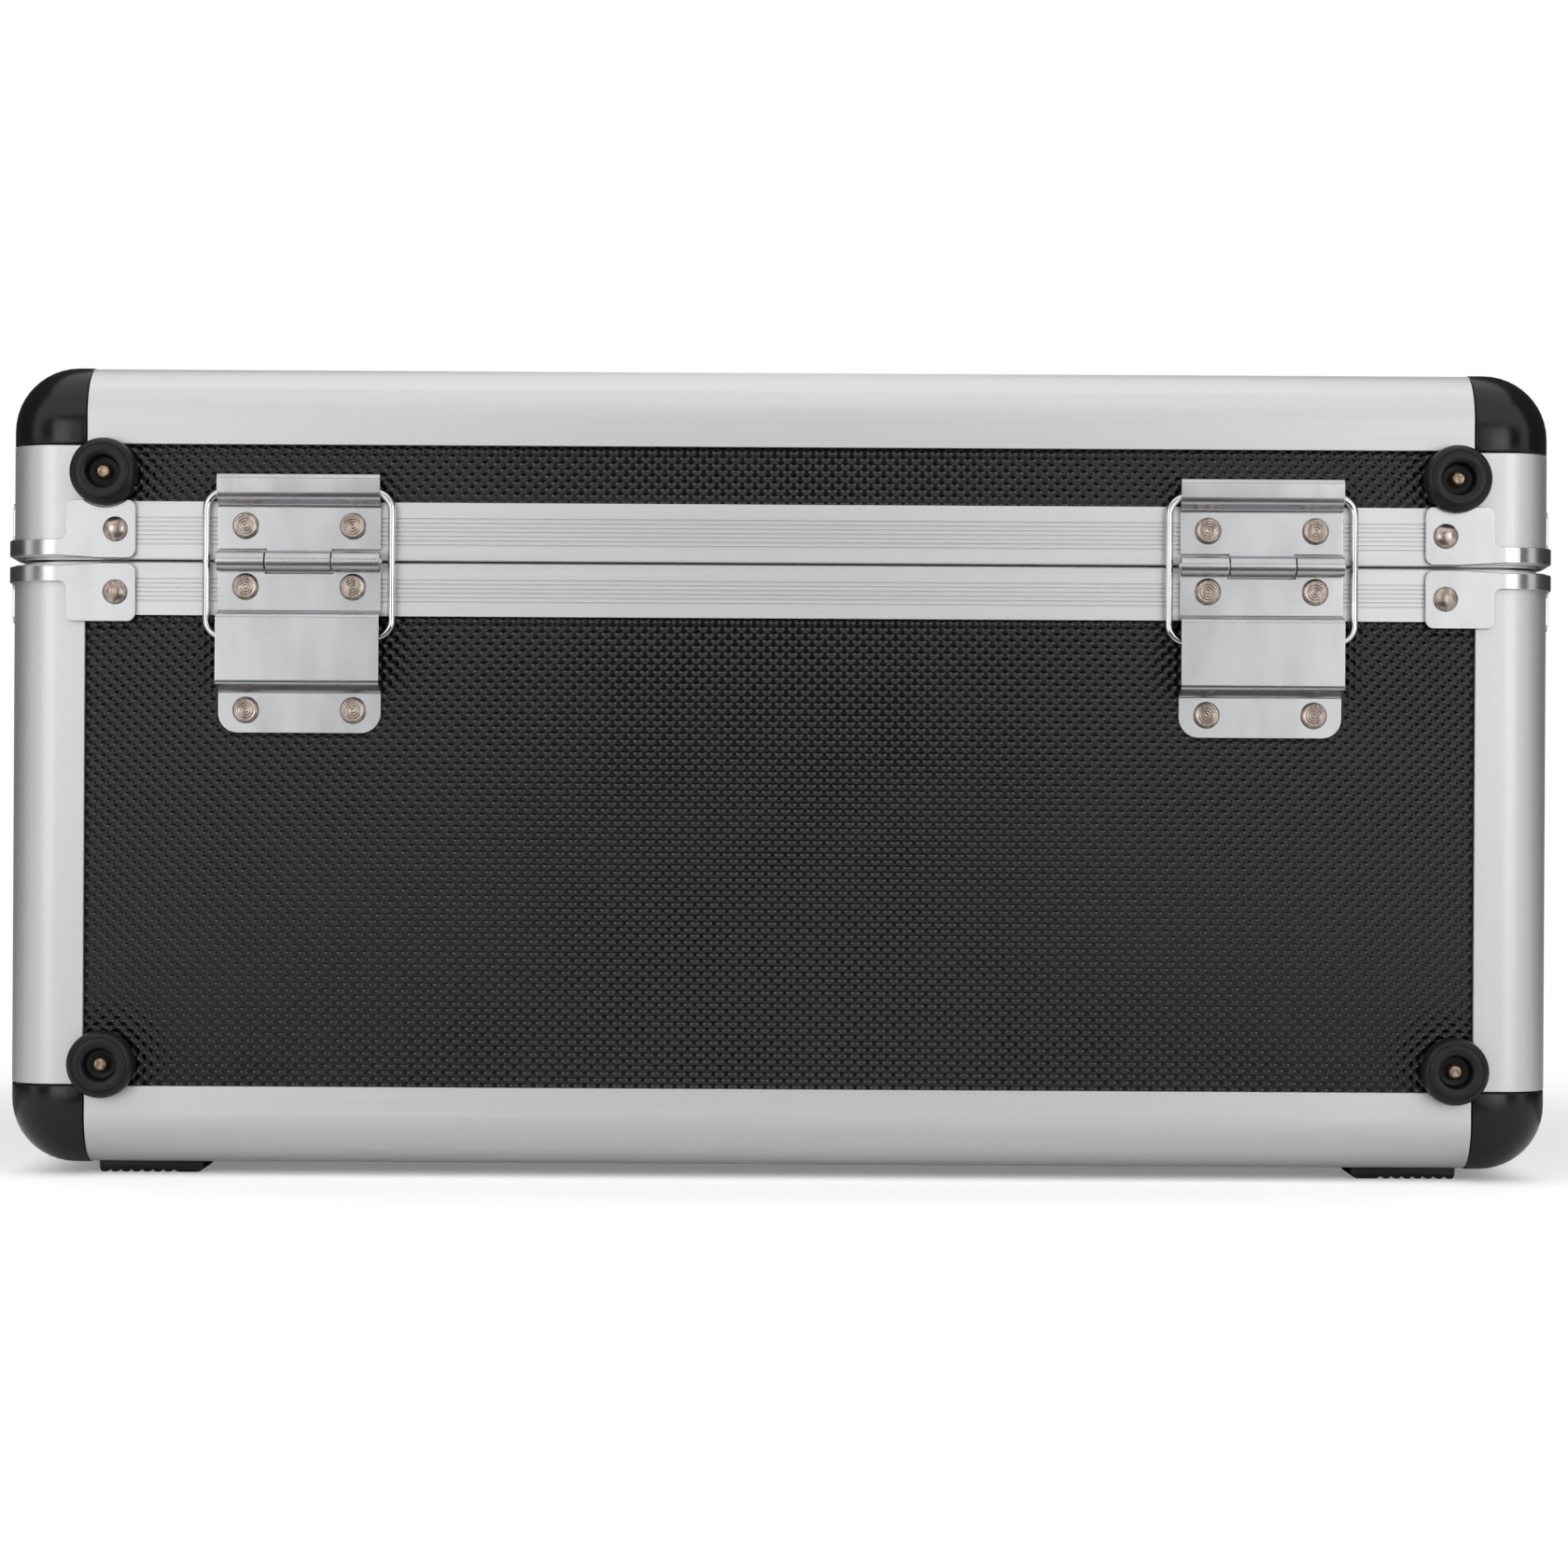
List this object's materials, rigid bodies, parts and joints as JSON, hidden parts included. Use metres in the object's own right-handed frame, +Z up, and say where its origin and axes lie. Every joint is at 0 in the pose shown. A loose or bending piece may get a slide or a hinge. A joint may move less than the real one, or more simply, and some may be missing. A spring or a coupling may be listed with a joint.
{
  "type": "flight case",
  "caption": "Rectangular carrying case with aluminium edges, diamond-pattern panels, hinged lid with ring stays, draw latches and a folding handle.",
  "frame": {"origin": "centre of the case's outline, hardware included, on the plane that the feet stand on", "axes": "+X along the hinge line, to the right as the hinge side is seen; -Y out of the hinge side, +Y out of the latch side; +Z up"},
  "size_m": [0.3956, 0.3128, 0.2051],
  "materials": {
    "aluminium": "satin anodised profile with fine brushed lines",
    "board": "4 mm board with a black plastic skin moulded in a raised diamond pattern",
    "cap_plastic": "black moulded plastic with a soft gloss",
    "rubber": "matt black rubber",
    "zinc_steel": "pressed steel, bright zinc plated",
    "lining": "black foam sheet"
  },
  "bodies": {
    "base": {"base_bumper_left": "rubber", "base_bumper_right": "rubber", "base_clip_back_left": "zinc_steel", "base_clip_back_right": "zinc_steel", "base_clip_front_left": "zinc_steel", "base_clip_front_right": "zinc_steel", "base_floor_panel": "board", "base_frame": "aluminium", "base_lining": "lining", "base_side_band": "board", "bottom_cap_back_left": "cap_plastic", "bottom_cap_back_right": "cap_plastic", "bottom_cap_front_left": "cap_plastic", "bottom_cap_front_right": "cap_plastic", "bottom_edge_back": "aluminium", "bottom_edge_front": "aluminium", "bottom_edge_left": "aluminium", "bottom_edge_right": "aluminium", "foot_back_left": "rubber", "foot_back_right": "rubber", "foot_front_left": "rubber", "foot_front_right": "rubber", "handle_bracket_left": "zinc_steel", "handle_bracket_right": "zinc_steel", "hinge_lower_leaf_left": "zinc_steel", "hinge_lower_leaf_right": "zinc_steel", "hinge_pin_left": "zinc_steel", "hinge_pin_right": "zinc_steel", "latch_plate_left": "zinc_steel", "latch_plate_right": "zinc_steel"},
    "lid": {"hinge_upper_leaf_left": "zinc_steel", "hinge_upper_leaf_right": "zinc_steel", "latch_keeper_left": "zinc_steel", "latch_keeper_right": "zinc_steel", "lid_bumper_left": "rubber", "lid_bumper_right": "rubber", "lid_clip_back_left": "zinc_steel", "lid_clip_back_right": "zinc_steel", "lid_clip_front_left": "zinc_steel", "lid_clip_front_right": "zinc_steel", "lid_frame": "aluminium", "lid_lining": "lining", "lid_side_band": "board", "lid_top_panel": "board", "top_cap_back_left": "cap_plastic", "top_cap_back_right": "cap_plastic", "top_cap_front_left": "cap_plastic", "top_cap_front_right": "cap_plastic", "top_edge_back": "aluminium", "top_edge_front": "aluminium", "top_edge_left": "aluminium", "top_edge_right": "aluminium"},
    "handle": {"handle_grip": "cap_plastic"},
    "latch_claw_left": {"latch_claw_left": "zinc_steel"},
    "latch_claw_right": {"latch_claw_right": "zinc_steel"},
    "latch_lever_left": {"latch_lever_left": "zinc_steel"},
    "latch_lever_right": {"latch_lever_right": "zinc_steel"},
    "stay_ring_left": {"stay_ring_left": "zinc_steel"},
    "stay_ring_right": {"stay_ring_right": "zinc_steel"}
  },
  "joints": [
    {"name": "lid_hinge", "type": "hinge", "parent": "base", "child": "lid", "pos_m": [0, -0.15295, 0.1552], "axis": [1, 0, 0], "range_deg": [0, 90]},
    {"name": "handle_swing", "type": "hinge", "parent": "base", "child": "handle", "pos_m": [0, 0.14885, 0.1212], "axis": [1, 0, 0], "range_deg": [0, 90]},
    {"name": "stay_ring_left_hook", "type": "hinge", "parent": "lid", "child": "stay_ring_left", "pos_m": [-0.121, -0.15175, 0.1726], "axis": [1, 0, 0], "range_deg": [-60, 0]},
    {"name": "latch_left_lever", "type": "hinge", "parent": "base", "child": "latch_lever_left", "pos_m": [-0.135, 0.14485, 0.1492], "axis": [1, 0, 0], "range_deg": [0, 105]},
    {"name": "latch_left_claw", "type": "hinge", "parent": "latch_lever_left", "child": "latch_claw_left", "pos_m": [-0.135, 0.14405, 0.1422], "axis": [1, 0, 0], "range_deg": [-120, 0]},
    {"name": "stay_ring_right_hook", "type": "hinge", "parent": "lid", "child": "stay_ring_right", "pos_m": [0.121, -0.15175, 0.1726], "axis": [1, 0, 0], "range_deg": [-60, 0]},
    {"name": "latch_right_lever", "type": "hinge", "parent": "base", "child": "latch_lever_right", "pos_m": [0.135, 0.14485, 0.1492], "axis": [1, 0, 0], "range_deg": [0, 105]},
    {"name": "latch_right_claw", "type": "hinge", "parent": "latch_lever_right", "child": "latch_claw_right", "pos_m": [0.135, 0.14405, 0.1422], "axis": [1, 0, 0], "range_deg": [-120, 0]}
  ],
  "couplings": [
    {"joint": "stay_ring_left_hook", "follows": "lid_hinge", "ratio": -0.615},
    {"joint": "latch_left_claw", "follows": "latch_left_lever", "ratio": -1.12},
    {"joint": "stay_ring_right_hook", "follows": "lid_hinge", "ratio": -0.615},
    {"joint": "latch_right_claw", "follows": "latch_right_lever", "ratio": -1.12}
  ]
}
